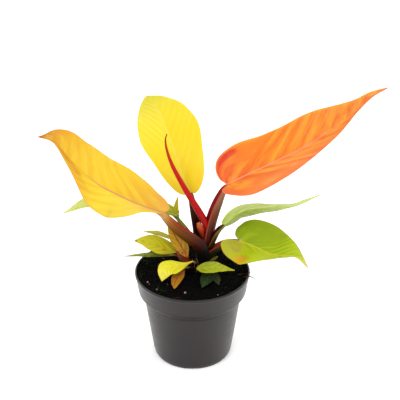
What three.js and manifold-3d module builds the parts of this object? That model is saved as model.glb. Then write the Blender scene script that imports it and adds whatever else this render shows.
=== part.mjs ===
// A potted philodendron: a nursery pot, its soil, a short main stem with six channelled leaf
// stalks, six big leaves, a rolled new leaf, and three young side shoots with small leaves.
// Millimetres, +Z up. The origin is the centre of the pot's foot, on the floor; -Y is the front.
import * as THREE from 'three';
import { ParametricGeometry } from 'three/addons/geometries/ParametricGeometry.js';
import { mergeVertices } from 'three/addons/utils/BufferGeometryUtils.js';
import Module from 'manifold-3d';

const wasm = await Module();
wasm.setup();

// ---- driving dimensions ------------------------------------------------------------------
const RIM_RADIUS = 60;           // outside of the pot's rim
const POT_HEIGHT = 98;
const WALL = 1.4;
const BAND_DROP = 22;            // height of the rim band
const STEP_DROP = 27;            // down to where the band's step meets the body
const BODY_RADIUS = 52;          // just under the step
const FOOT_RADIUS = 39.5;
const FOOT_RECESS = 1.6;         // the underside is lifted between the foot ring and the centre
const PAD_RADIUS = 12;           // flat centre of the underside
const FLOOR_TOP = 3.6;           // inside face of the pot's floor
const DRAIN = { count: 6, radius: 4, ring: 26 };
const NOTCH = { count: 6, width: 14 };
const GAP = 0.3;                 // between pieces that touch
const SOIL = { edge: 93, mound: 3.5, bumps: 1.2 };
const BLADE_THICK = 0.8;
const SMALL_THICK = 0.6;
const ROW_CROWDING = 1.35;        // the rows of a blade's mesh start closer together at its stalk
const STALK_CORNERS = 14;
const EDGE_TAPER = 4;            // length over which a blade thins out at its stalk and at its tip

// ---- materials ---------------------------------------------------------------------------
const finish = (color, roughness) => new THREE.MeshStandardMaterial({ color, roughness, metalness: 0 });
const POT_GREY = finish('#464444', 0.45);
const SOIL_BLACK = finish('#1d1712', 0.95);
const STALK_BROWN = finish('#4a2418', 0.4);
const RED = finish('#a81c28', 0.35);
const ORANGE = finish('#ee7a33', 0.4);
const AMBER = finish('#e8b02c', 0.4);
const YELLOW = finish('#f2d82a', 0.4);
const LIME = finish('#b4c41e', 0.4);
const GREEN = finish('#7fa81a', 0.4);
const PALE_GREEN = finish('#b3cb6a', 0.45);
const DARK_GREEN = finish('#33491c', 0.45);
const RUST = finish('#a65a28', 0.45);

// ---- solids ------------------------------------------------------------------------------
// A closed geometry as a solid: shared corners are merged and collapsed triangles left out.
function solidOf(geometry) {
  geometry.deleteAttribute('normal');
  geometry.deleteAttribute('uv');
  const merged = mergeVertices(geometry, 0.001);
  const spots = merged.attributes.position;
  const corners = merged.index.array;
  const kept = [];
  const a = new THREE.Vector3();
  const b = new THREE.Vector3();
  const c = new THREE.Vector3();
  let volume = 0;
  for (let i = 0; i < corners.length; i += 3) {
    const [p, q, r] = corners.slice(i, i + 3);
    if (p === q || q === r || r === p) continue;
    kept.push([p, q, r]);
    a.fromBufferAttribute(spots, p);
    b.fromBufferAttribute(spots, q);
    c.fromBufferAttribute(spots, r);
    volume += a.dot(b.cross(c));
  }
  const outward = volume > 0 ? kept : kept.map(([p, q, r]) => [p, r, q]);
  const mesh = new wasm.Mesh({
    numProp: 3,
    vertProperties: new Float32Array(spots.array),
    triVerts: new Uint32Array(outward.flat()),
  });
  return new wasm.Manifold(mesh);
}

// The biggest connected piece, so that a cut leaves no crumbs behind.
function mainPiece(solid) {
  const pieces = solid.decompose();
  return pieces.reduce((best, piece) => (piece.volume() > best.volume() ? piece : best));
}

function meshOf(name, solid, material) {
  const { vertProperties, triVerts } = solid.getMesh();
  const geometry = new THREE.BufferGeometry();
  geometry.setAttribute('position', new THREE.BufferAttribute(new Float32Array(vertProperties), 3));
  geometry.setIndex(new THREE.BufferAttribute(new Uint32Array(triVerts), 1));
  geometry.computeVertexNormals();
  const mesh = new THREE.Mesh(geometry, material);
  mesh.name = name;
  return mesh;
}

const spline = (points) => new THREE.CatmullRomCurve3(
  points.map((p) => new THREE.Vector3(...p)), false, 'catmullrom', 0.5);

// A value at t from evenly spaced values, joined by straight lines.
function along(values, t) {
  const list = [values].flat();
  const place = t * (list.length - 1);
  const i = Math.min(Math.floor(place), list.length - 2);
  return list.length === 1 ? list[0] : THREE.MathUtils.lerp(list[i], list[i + 1], place - i);
}

// ---- leaves ------------------------------------------------------------------------------
// A blade grows along its midrib. Each half has an outline from the stalk to the tip, as pairs of
// distance along the midrib and distance out from it, and is folded up by its own angle. A lobe
// lies behind the stalk, where the distance along is negative. The middle is full and the edges sharp.
function blade(leaf, rows, columns, thick) {
  const rib = spline(leaf.rib);
  const length = rib.getLength();
  const [firstFace, lastFace] = [leaf.face[0], leaf.face.at(-1)].map((f) => new THREE.Vector3(...f));
  const outlines = [leaf.left, leaf.right].map((half) => spline(half.map(([x, out]) => [x, out, 0])));
  const place = (u, v, target) => {
    const around = u * 4;
    const onTop = around < 2;
    const q = onTop ? around - 1 : 3 - around;
    const half = q > 0 ? 0 : 1;
    const share = Math.abs(q);
    const edge = outlines[half].getPointAt(v);
    const start = length * v ** ROW_CROWDING;
    const x = start + (edge.x - start) * share;
    const t = THREE.MathUtils.clamp(x / length, 0, 1);
    const ahead = rib.getTangentAt(t);
    const left = firstFace.clone().lerp(lastFace, t).cross(ahead).normalize();
    const up = ahead.clone().cross(left);
    const reach = edge.y * share;
    const fold = THREE.MathUtils.degToRad(along(leaf.fold[half], t));
    const thinning = Math.min(v * length / EDGE_TAPER, (1 - v) * length / EDGE_TAPER, 1);
    const rise = thick / 2 * Math.sqrt(Math.max(1 - share ** 4, 0)) * thinning;
    target.copy(rib.getPointAt(t))
      .addScaledVector(ahead, x - t * length)
      .addScaledVector(left, (half === 0 ? 1 : -1) * reach * Math.cos(fold))
      .addScaledVector(up, reach * Math.sin(fold) + (onTop ? rise : -rise));
  };
  return solidOf(new ParametricGeometry(place, columns * 2, rows));
}

// ---- stalks ------------------------------------------------------------------------------
// A stalk is swept along its line with a rounded back and a shallow channel on its upper side.
// The first and last rings close onto the line. "extra" makes a fatter copy for cutting with.
function stalk({ line, face, wide, deep, channel = 0.35 }, rings = 14, extra = 0) {
  const path = spline(line);
  const upper = new THREE.Vector3(...face);
  const place = (u, v, target) => {
    const ring = v * rings;
    const s = THREE.MathUtils.clamp((ring - 1) / (rings - 2), 0, 1);
    const open = ring > 0.5 && ring < rings - 0.5 ? 1 : 0;
    const beyond = ring < 1.5 ? -extra : (s === 1 ? extra : 0);
    const ahead = path.getTangentAt(s);
    const across = upper.clone().cross(ahead).normalize();
    const up = ahead.clone().cross(across);
    const angle = u * Math.PI * 2;
    const dip = Math.max(Math.sin(angle), 0) ** 2;
    const height = (along(deep, s) + extra) * Math.sin(angle) * (1 - dip * (1 - channel));
    target.copy(path.getPointAt(s))
      .addScaledVector(ahead, beyond)
      .addScaledVector(across, open * (along(wide, s) + extra) * Math.cos(angle))
      .addScaledVector(up, open * height);
  };
  return solidOf(new ParametricGeometry(place, STALK_CORNERS, rings));
}

// A young stalk: round, and a little flatter than it is wide.
const twig = ({ line, wide }, extra) => stalk(
  { line, wide, deep: wide.map((w) => w * 0.85), face: [0, -1, 0.3], channel: 1 }, 8, extra);

// Stalks that grow from one point: each is cut back where it meets the ones before it.
function growTogether(stalks) {
  const done = [];
  return stalks.map((one) => {
    const solid = done.reduce((rest, other) => rest.subtract(other), stalk(one, one.rings));
    done.push(stalk(one, one.rings, GAP));
    return mainPiece(solid);
  });
}

// ---- the plant's measures ----------------------------------------------------------------
const LEAVES = {
  leaf_right: {
    rib: [[35, 14, 190], [61, 22, 200], [89, 33, 209], [121, 48, 220], [158, 62, 242], [183, 72, 262],
      [202, 78, 270]],
    face: [[-0.5, -0.75, 0.8], [-0.35, -0.6, 0.8]], fold: [[8, 12, 20], 30],
    left: [[0, 1], [-4, 9], [-3, 20], [3, 29], [14, 34], [32, 36], [56, 33], [84, 32], [105, 31],
      [124, 27], [138, 21], [153, 14], [166, 8], [182, 4], [198, 0.7]],
    right: [[0, 1], [-7, 5], [-7, 14], [-1, 24], [7, 33], [17, 39], [30, 40], [46, 38], [62, 35],
      [78, 30], [95, 25], [113, 21], [127, 17], [140, 11], [154, 6], [174, 4], [198, 0.7]],
    material: ORANGE,
  },
  leaf_left: {
    rib: [[-28, -6, 168], [-50, -9, 178], [-71, -8, 188], [-96, -3, 201], [-119, 6, 221], [-136, 14, 238],
      [-153, 18, 241]],
    face: [[0.45, -0.75, 0.8], [0.2, -0.6, 0.8]], fold: [[55, 45, -5, 5, 20, 30, 30], [0, 5, 10]],
    left: [[0, 1], [2, 5], [8, 8], [16, 11], [25, 17], [35, 23], [47, 26], [59, 27], [70, 25.5], [81, 20],
      [94, 14], [108, 9.5], [122, 6], [136, 3], [151, 0.7]],
    right: [[0, 1], [-4, 4], [-3, 10], [3, 15], [11, 19], [21, 24], [35, 28], [52, 31], [72, 31],
      [93, 28], [112, 24], [127, 20], [136, 13], [144, 5], [151, 0.7]],
    material: AMBER,
  },
  leaf_centre: {
    rib: [[-2, 28, 174], [-12, 40, 192], [-20, 58, 211], [-28, 80, 223], [-37, 108, 233],
      [-51, 138, 238]],
    face: [[0.3, -0.9, 0.3], [0, -0.5, 0.8]], fold: [[15, 10, 0], [35, 20, 0]],
    left: [[0, 1], [-1, 5], [2, 11], [8, 15], [17, 19], [27, 23], [38, 27], [49, 31], [62, 33], [77, 31],
      [92, 28], [112, 22], [128, 14], [138, 6], [142, 0.7]],
    right: [[0, 1], [-3, 4], [-2, 9], [1, 14], [7, 20], [16, 25], [28, 28], [42, 30], [55, 33], [69, 34],
      [85, 32], [99, 28], [110, 23], [120, 18], [131, 12], [139, 5], [142, 0.7]],
    material: YELLOW,
  },
  leaf_side: {
    rib: [[33, 0, 152], [51, 6, 164], [78, 14, 164], [104, 22, 162], [120, 28, 165], [132, 32, 169]],
    face: [[-0.4, 0.75, 0.5], [0, 0.85, 0.5]], fold: [10, 10],
    left: [[0, 1], [-2, 6], [1, 13], [7, 19], [15, 22], [26, 23], [36, 21], [46, 17], [56, 14], [66, 11],
      [77, 7], [88, 4], [98, 2], [109, 0.6]],
    right: [[0, 1], [-2, 4], [1, 8], [9, 11], [18, 11], [28, 9], [44, 7], [58, 4], [78, 4], [94, 3],
      [109, 0.6]],
    material: PALE_GREEN,
  },
  leaf_low_right: {
    rib: [[48, -2, 134], [64, -8, 130], [81, -18, 127], [98, -28, 131], [107, -36, 133], [115, -42, 126]],
    face: [[0.1, -0.45, 0.9], [0.5, -0.45, 0.7]], fold: [5, [20, 20, 25, 30, 30]],
    left: [[0, 1], [-6, 4], [-8, 11], [-6, 18], [-2, 25], [5, 30], [14, 33], [24, 34], [34, 32], [44, 28],
      [53, 21], [60, 14], [67, 7], [75, 3], [82, 0.6]],
    right: [[0, 1], [-7, 2], [-13, 7], [-15, 14], [-12, 22], [-6, 30], [2, 35], [10, 38], [20, 39],
      [28, 34], [34, 24], [41, 13], [51, 8], [62, 6], [74, 4], [82, 0.6]],
    material: GREEN,
  },
  leaf_rear_left: {
    rib: [[-16, 37, 142.5], [-45, 42, 148], [-77, 46, 152], [-111, 50, 148], [-139, 52, 137]],
    face: [[0.3, -0.3, 0.9], [-0.1, -0.2, 0.9]], fold: [[30, 30, 20], [40, 20, 10]],
    left: [[0, 1], [-1, 4], [6, 7], [22, 10], [44, 13], [68, 14], [92, 11], [111, 5], [127, 0.6]],
    right: [[0, 1], [-1, 5], [6, 8], [22, 12], [44, 16], [68, 17], [92, 14], [111, 7], [127, 0.6]],
    material: LIME,
  },
};

// The small leaves of the side shoots, and one at the back.
const YOUNG_LEAVES = {
  young_left_1: {
    rib: [[-21, 10, 129], [-32, 12, 133], [-44, 14, 135], [-51, 15, 135]],
    face: [[0, -0.5, 0.8]], fold: [25, 25],
    left: [[0, 0.5], [3, 1.8], [10, 2.8], [18, 2.8], [25, 1.8], [31.5, 0.3]],
    right: [[0, 0.5], [3, 2], [9, 3], [17, 3], [25, 1.6], [31.5, 0.3]],
    material: LIME,
  },
  young_left_2: {
    rib: [[-13, 4, 117], [-27, 0, 123], [-41, -3, 130], [-59, -6, 136]],
    face: [[0, -0.5, 0.9]], fold: [8, 8],
    left: [[0, 0.6], [5, 2.5], [13, 5.5], [22, 9], [30, 9.5], [37, 7], [44, 3], [51, 0.4]],
    right: [[0, 0.6], [3, 3], [7, 6], [13, 9.5], [21, 10.8], [30, 11], [39, 8.5], [45, 5], [51, 0.4]],
    material: LIME,
  },
  young_left_3: {
    rib: [[-18, -2, 117], [-38, -6, 119], [-54, -8, 120], [-70, -10, 120]],
    face: [[0, -0.5, 0.9]], fold: [30, 30],
    left: [[0, 0.5], [8, 2], [20, 3], [32, 2.8], [43, 1.4], [53, 0.3]],
    right: [[0, 0.5], [8, 2], [20, 3], [32, 2.8], [43, 1.4], [53, 0.3]],
    material: GREEN,
  },
  young_left_4: {
    rib: [[-5, 0, 113], [-10, 2, 122], [-17, 5, 134], [-25, 9, 150]],
    face: [[0.1, -0.9, 0.4]], fold: [12, 12],
    left: [[0, 0.8], [3, 3], [9, 5.5], [17, 7], [25, 7], [33, 5], [39, 2.4], [43, 0.4]],
    right: [[0, 0.8], [3, 3], [8, 6], [15, 7.5], [24, 7.5], [33, 5], [39, 2.2], [43, 0.4]],
    material: AMBER,
  },
  young_left_5: {
    rib: [[-4, 1, 107], [-8, 0.5, 111], [-12, -0.5, 116], [-16.5, -1, 120.5]],
    face: [[0.1, -0.9, 0.4]], fold: [10, 10],
    left: [[0, 0.8], [3, 3.4], [8, 4.8], [13, 3.6], [17, 1.4], [19, 0.4]],
    right: [[0, 0.8], [3, 3], [8, 4.2], [13, 3.2], [17, 1.4], [19, 0.4]],
    material: RUST,
  },
  young_front_1: {
    rib: [[1, -6, 112], [-10, -11, 111], [-23, -15, 111], [-29, -20, 108], [-31, -26, 100]],
    face: [[0, -0.5, 0.9]], fold: [5, 5],
    left: [[0, 0.7], [6, 1.8], [12, 5], [18, 9], [25, 11], [32, 9.5], [38, 7], [42, 3], [44.6, 0.4]],
    right: [[0, 0.7], [6, 1], [12, 2.2], [18, 4.4], [25, 7], [30, 8.4], [35, 6.4], [40, 3.4],
      [44.6, 0.4]],
    material: YELLOW,
  },
  young_front_2: {
    rib: [[-9, -8, 105], [-13, -15, 102], [-17, -25, 99], [-18, -36, 97.5]],
    face: [[0, -0.5, 0.9]], fold: [5, 5],
    left: [[0, 0.5], [3, 3], [9, 5.4], [16, 5.6], [23, 4.4], [28, 2.2], [31, 0.4]],
    right: [[0, 0.5], [3, 3], [8, 5.8], [15, 5.8], [22, 4], [28, 2], [31, 0.4]],
    material: RUST,
  },
  young_right_1: {
    rib: [[4, -14, 108], [16, -18, 111], [30, -22, 113], [43, -26, 113]],
    face: [[0, -0.5, 0.9]], fold: [8, 8],
    left: [[0, 0.6], [3, 3.4], [8, 6], [15, 7], [22, 6.4], [29, 3.8], [35, 1.8], [41.5, 0.3]],
    right: [[0, 0.6], [3, 3], [7, 5.5], [13, 6.6], [20, 6], [28, 4.3], [35, 2], [41.5, 0.3]],
    material: LIME,
  },
  young_right_2: {
    rib: [[19, -15, 103], [16, -20, 101.5], [12, -29, 99.5], [10, -35, 98]],
    face: [[0, -0.5, 0.9]], fold: [5, 5],
    left: [[0, 0.6], [2, 3.4], [6, 6], [11, 6], [16, 4], [20, 1.6], [22.4, 0.3]],
    right: [[0, 0.6], [2, 3.2], [6, 5.8], [11, 6], [16, 4], [20, 1.6], [22.4, 0.3]],
    material: DARK_GREEN,
  },
  young_right_3: {
    rib: [[22, -15, 103], [25, -23, 100.5], [27, -30, 98]],
    face: [[0, -0.5, 0.9]], fold: [5, 5],
    left: [[0, 0.6], [2, 2.4], [6, 4.2], [10, 3.6], [14, 1.6], [16.5, 0.3]],
    right: [[0, 0.6], [2, 2.4], [6, 4.2], [10, 3.6], [14, 1.6], [16.5, 0.3]],
    material: DARK_GREEN,
  },
  young_rear: {
    rib: [[-15, 38, 136], [-17, 39, 146], [-17, 39, 155], [-15, 38, 164]],
    face: [[0.2, -0.9, 0.3]], fold: [15, 15],
    left: [[0, 0.8], [4, 1.8], [11, 2.6], [18, 2.4], [24, 1.3], [29, 0.3]],
    right: [[0, 0.8], [4, 1.8], [11, 2.6], [18, 2.4], [24, 1.3], [29, 0.3]],
    material: YELLOW,
  },
};

const STEM = {
  line: [[9, 20, 82], [10, 17, 98], [12, 13, 116]],
  face: [0, -1, 0], wide: [7, 7, 8, 7, 3], deep: [7, 7, 8, 7, 3], channel: 1, rings: 10,
};

const STALKS = {
  stalk_left: {
    line: [[10, 5, 94], [11, 5, 106], [11, 4, 118], [7.2, 2, 129.3], [-1.8, -1, 139], [-14, -4, 150.4],
      [-24, -6, 162], [-28.4, -6.4, 167]],
    face: [0.74, 0.45, 0.5], wide: [6, 6.5, 8, 9, 8.5, 8, 6, 4], deep: [5.5, 6.2, 7.6, 8.5, 8, 7, 5, 2.4],
    material: STALK_BROWN,
  },
  stalk_right: {
    line: [[12, 12, 98], [14, 12, 122], [16.8, 12, 142], [22.6, 12, 164], [34.4, 14, 189.4]],
    face: [-0.95, -0.17, 0.26], wide: [7, 7, 6.8, 6, 4.2], deep: [7, 7.2, 7.2, 6.6, 3],
    material: STALK_BROWN,
  },
  stalk_low_right: {
    line: [[9, 8, 94], [15, 6, 112], [24, 2, 123], [35, 0, 130.5], [47.2, -2.4, 133.4]],
    face: [-0.5, 0, 0.85], wide: [4, 5, 5.5, 4.6, 3], deep: [5, 6, 6, 4.2, 2],
    material: STALK_BROWN,
  },
  stalk_side: {
    line: [[14, 10, 100], [20, 7, 128], [26, 4, 142], [32.8, 0.3, 151.2]],
    face: [-0.92, -0.11, 0.39], wide: [4.4, 4.2, 3.8, 2.6], deep: [4.6, 4.6, 4, 2],
    material: STALK_BROWN,
  },
  stalk_centre: {
    line: [[11, 19, 98], [7, 24, 124], [3, 27, 146], [-2, 28.4, 173.8]],
    face: [0.1, -0.9, 0.2], wide: [6, 6, 5, 3.5], deep: [5, 5, 4, 2.5],
    material: STALK_BROWN,
  },
  stalk_rear_left: {
    line: [[9, 24, 98], [0, 30, 119], [-9, 33.6, 130.6], [-16, 36.8, 141.8]],
    face: [0.6, -0.1, 0.8], wide: [3.5, 3.2, 3, 2.4], deep: [3, 3, 2.6, 2],
    material: LIME,
  },
  new_leaf: {
    line: [[15.5, 11, 138], [13.1, 9.4, 149], [6.3, 13, 160.6], [-7.7, 18, 183.8], [-19.4, 24, 204.9],
      [-25.2, 29, 219.8], [-27, 31, 231.7], [-25.3, 32, 238]],
    face: [0.3, -0.9, 0.3], wide: [3.2, 3.7, 3.6, 3.2, 2.8, 2.4, 2.1, 1.6, 1.1, 0.5],
    deep: [3.2, 3.7, 3.6, 3.2, 2.8, 2.4, 2.1, 1.6, 1.1, 0.5], channel: 1, rings: 20, material: RED,
  },
  new_leaf_sheath: {
    line: [[11, 6.5, 132], [9, 5.6, 142], [6, 5, 151]],
    face: [0.2, -0.9, 0.3], wide: [1.4, 2.2, 3, 3.2, 1.8], deep: [1.4, 1.6, 1.6, 1.2, 0.6],
    channel: 1, rings: 8, material: ORANGE,
  },
};

// Each side shoot is a short stem and the stalks of its young leaves.
const SHOOTS = {
  shoot_left: [
    { line: [[-1, 12, 84], [-2, 11, 97], [-4, 8, 106]], wide: [4, 4, 3, 1] },
    { line: [[-2, 11, 100], [-4, 4, 108], [-5, 0.5, 112.5]], wide: [2.2, 2.2, 1.4] },
    { line: [[-3, 11, 98], [-9, 8, 110], [-13, 4, 116.6]], wide: [2.2, 1.8, 1.2] },
    { line: [[-3, 12, 98], [-13, 12, 116], [-20.6, 10.2, 128.6]], wide: [2.2, 1.7, 1] },
    { line: [[-3, 10, 98], [-11, 3, 111], [-17.6, -1.8, 116.8]], wide: [2.2, 1.7, 1] },
    { line: [[-1, 8, 98], [-2, 4, 103], [-3.8, 1.2, 106.6]], wide: [2, 1.5, 1] },
  ],
  shoot_front: [
    { line: [[4, 2, 84], [4, 0, 97], [3, -2, 105]], wide: [3.2, 3, 2.4, 1] },
    { line: [[4, -1, 99], [3.5, -4, 108], [1.2, -5.8, 111.7]], wide: [1.8, 1.5, 1] },
    { line: [[4, -1, 98], [-2, -7, 103.5], [-8.6, -7.8, 105]], wide: [1.6, 1.3, 1] },
  ],
  shoot_right: [
    { line: [[12, -3, 84], [12, -5, 95], [10, -8, 101]], wide: [3.2, 3, 2.4, 1] },
    { line: [[11, -6, 98], [7, -11, 105], [4.6, -13.8, 107.8]], wide: [1.8, 1.4, 1] },
    { line: [[11, -7, 98], [15, -11, 101], [18.7, -14.4, 102.6]], wide: [1.6, 1.3, 1] },
    { line: [[12, -7, 98], [18, -11, 101], [21.7, -14.4, 102.8]], wide: [1.6, 1.3, 1] },
    { line: [[12, -4, 92], [15.5, 0, 101], [20, 1.5, 107.5], [26, 3, 112]], wide: [2.4, 2.8, 2.6, 1] },
  ],
};

// ---- pot and soil ------------------------------------------------------------------------
function potSolid() {
  const body = POT_HEIGHT - STEP_DROP;
  const profile = [
    [0, 0], [PAD_RADIUS, 0], [PAD_RADIUS + 1, FOOT_RECESS], [FOOT_RADIUS - 5, FOOT_RECESS],
    [FOOT_RADIUS - 4, 0], [FOOT_RADIUS, 0], [FOOT_RADIUS + 2, 3], [FOOT_RADIUS + 3, 8],
    [BODY_RADIUS - 1, body - 3], [BODY_RADIUS, body], [RIM_RADIUS - 3.5, POT_HEIGHT - BAND_DROP],
    [RIM_RADIUS - 0.5, POT_HEIGHT - 3], [RIM_RADIUS, POT_HEIGHT - 0.6], [RIM_RADIUS - 0.5, POT_HEIGHT],
    [RIM_RADIUS - WALL, POT_HEIGHT], [RIM_RADIUS - WALL - 0.7, POT_HEIGHT - 3],
    [RIM_RADIUS - WALL - 3.7, POT_HEIGHT - BAND_DROP + 0.4], [BODY_RADIUS - WALL - 0.2, body + 0.6],
    [BODY_RADIUS - WALL - 1.2, body - 3], [FOOT_RADIUS + 1.2, 8], [FOOT_RADIUS - 1, FLOOR_TOP],
    [0, FLOOR_TOP],
  ].map(([r, z]) => new THREE.Vector2(r, z));
  let pot = solidOf(new THREE.LatheGeometry(profile, 64).rotateX(Math.PI / 2));
  for (let i = 0; i < DRAIN.count; i += 1) {
    const turn = (i + 0.5) * Math.PI * 2 / DRAIN.count;
    const hole = new THREE.CylinderGeometry(DRAIN.radius, DRAIN.radius, 12, 12).rotateX(Math.PI / 2)
      .translate(DRAIN.ring * Math.cos(turn), DRAIN.ring * Math.sin(turn), 2);
    pot = pot.subtract(solidOf(hole));
  }
  for (let i = 0; i < NOTCH.count; i += 1) {
    const turn = i * Math.PI * 2 / NOTCH.count - Math.PI / 2;
    const notch = new THREE.BoxGeometry(12, NOTCH.width, FOOT_RECESS * 2).translate(FOOT_RADIUS, 0, 0)
      .rotateZ(turn);
    pot = pot.subtract(solidOf(notch));
  }
  return pot;
}

// The soil fills the pot and rises a little towards the stem, with an uneven top.
function soilSolid() {
  const body = POT_HEIGHT - STEP_DROP;
  const inset = WALL + GAP + 0.9;
  const profile = [
    [0, FLOOR_TOP + GAP], [FOOT_RADIUS - 2.4, FLOOR_TOP + GAP], [FOOT_RADIUS + 0.2, 8.2],
    [BODY_RADIUS - inset - 1.2, body - 3], [BODY_RADIUS - inset, body + 1.6],
    [RIM_RADIUS - inset - 4.2, POT_HEIGHT - BAND_DROP + 1.4], [RIM_RADIUS - inset - 1.8, SOIL.edge],
    [47, SOIL.edge + 1], [34, SOIL.edge + 1.6], [20, SOIL.edge + 2.6], [8, SOIL.edge + SOIL.mound],
    [0, SOIL.edge + SOIL.mound],
  ].map(([r, z]) => new THREE.Vector2(r, z));
  const turned = new THREE.LatheGeometry(profile, 48).rotateX(Math.PI / 2);
  const spots = turned.attributes.position;
  for (let i = 0; i < spots.count; i += 1) {
    const [x, y, z] = [spots.getX(i), spots.getY(i), spots.getZ(i)];
    const bump = Math.sin(x * 0.31 + 1) * Math.cos(y * 0.27) * SOIL.bumps;
    spots.setZ(i, z > SOIL.edge + 0.5 ? z + bump : z);
  }
  return solidOf(turned);
}

// ---- assembly ----------------------------------------------------------------------------
const group = new THREE.Group();
const put = (name, solid, material) => group.add(meshOf(name, mainPiece(solid), material));
const clear = (solid, others) => others.reduce((rest, other) => rest.subtract(other), solid);
const shootSolid = (twigs, extra) => twigs.map((one) => twig(one, extra)).reduce((all, one) => all.add(one));

const grown = growTogether([STEM, ...Object.values(STALKS)]);
const fatStalks = [STEM, ...Object.values(STALKS)].map((one) => stalk(one, one.rings, GAP));
const fatShoots = Object.values(SHOOTS).map((twigs) => shootSolid(twigs, GAP));

put('pot', potSolid(), POT_GREY);
put('soil', clear(soilSolid(), [...fatStalks, ...fatShoots]), SOIL_BLACK);

put('stem', grown[0], STALK_BROWN);
Object.entries(STALKS).forEach(([name, { material }], i) => put(name, grown[i + 1], material));

Object.entries(SHOOTS).forEach(([name, twigs], i) => {
  const nearer = [...fatStalks, ...fatShoots.slice(0, i)];
  put(name, clear(shootSolid(twigs, 0), nearer), STALK_BROWN);
});

// Each leaf is cut clear of the stalks, the shoots and the leaves before it.
const fatBlades = [];
function grow(leaves, rows, columns, thick) {
  Object.entries(leaves).forEach(([name, leaf]) => {
    const nearer = [...fatStalks, ...fatShoots, ...fatBlades];
    put(name, clear(blade(leaf, rows, columns, thick), nearer), leaf.material);
    fatBlades.push(blade(leaf, rows, columns, thick + 2 * GAP));
  });
}
grow(LEAVES, 28, 10, BLADE_THICK);
grow(YOUNG_LEAVES, 12, 6, SMALL_THICK);

export default group;
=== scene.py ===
import math
import random

import bpy
import numpy as np
from mathutils import Euler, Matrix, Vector, noise


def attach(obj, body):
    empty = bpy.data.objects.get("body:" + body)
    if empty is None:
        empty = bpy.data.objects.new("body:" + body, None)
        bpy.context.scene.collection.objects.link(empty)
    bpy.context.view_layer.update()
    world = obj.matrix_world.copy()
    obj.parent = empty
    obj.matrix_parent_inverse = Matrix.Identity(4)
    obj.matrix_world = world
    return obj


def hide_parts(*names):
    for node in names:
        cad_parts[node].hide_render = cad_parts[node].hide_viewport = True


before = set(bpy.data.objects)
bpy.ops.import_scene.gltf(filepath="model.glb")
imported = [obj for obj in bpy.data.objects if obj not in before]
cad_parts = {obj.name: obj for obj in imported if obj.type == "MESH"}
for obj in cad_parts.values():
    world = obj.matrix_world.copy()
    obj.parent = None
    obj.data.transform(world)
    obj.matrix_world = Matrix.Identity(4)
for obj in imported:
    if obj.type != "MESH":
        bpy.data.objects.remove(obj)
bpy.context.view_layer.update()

MM = 0.001
LIGHT = 1.58          # how much the studio brightens an upward surface
SHEEN = 0.018         # what a waxy surface adds by reflection

# ---- the plant's measures, shared with the CAD part ---------------------------------------
POT = dict(rim=60, height=98, wall=1.4, band=22, step=27, body=52, foot=39.5, floor=3.6)
POT_CORNERS = 180
HOLES = dict(count=6, radius=4, ring=26, corners=24)
NOTCHES = dict(count=6, half_deep=6, half_wide=7, high=1.5)
SOIL_EDGE = 93.5      # the soil's height at the rim
SOIL_RADIUS = 57.3
LOOSE_RADIUS = 56     # crumbs, moss and fibres lie within it
BIG_BLADE = dict(rows=140, half_columns=16, thick=0.6, quilt=0.28, ripple=0.4)
YOUNG_BLADE = dict(rows=60, half_columns=8, thick=0.4, quilt=0.12, ripple=0.3)

UPWARD = [(0, -0.5, 0.9)]

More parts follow.
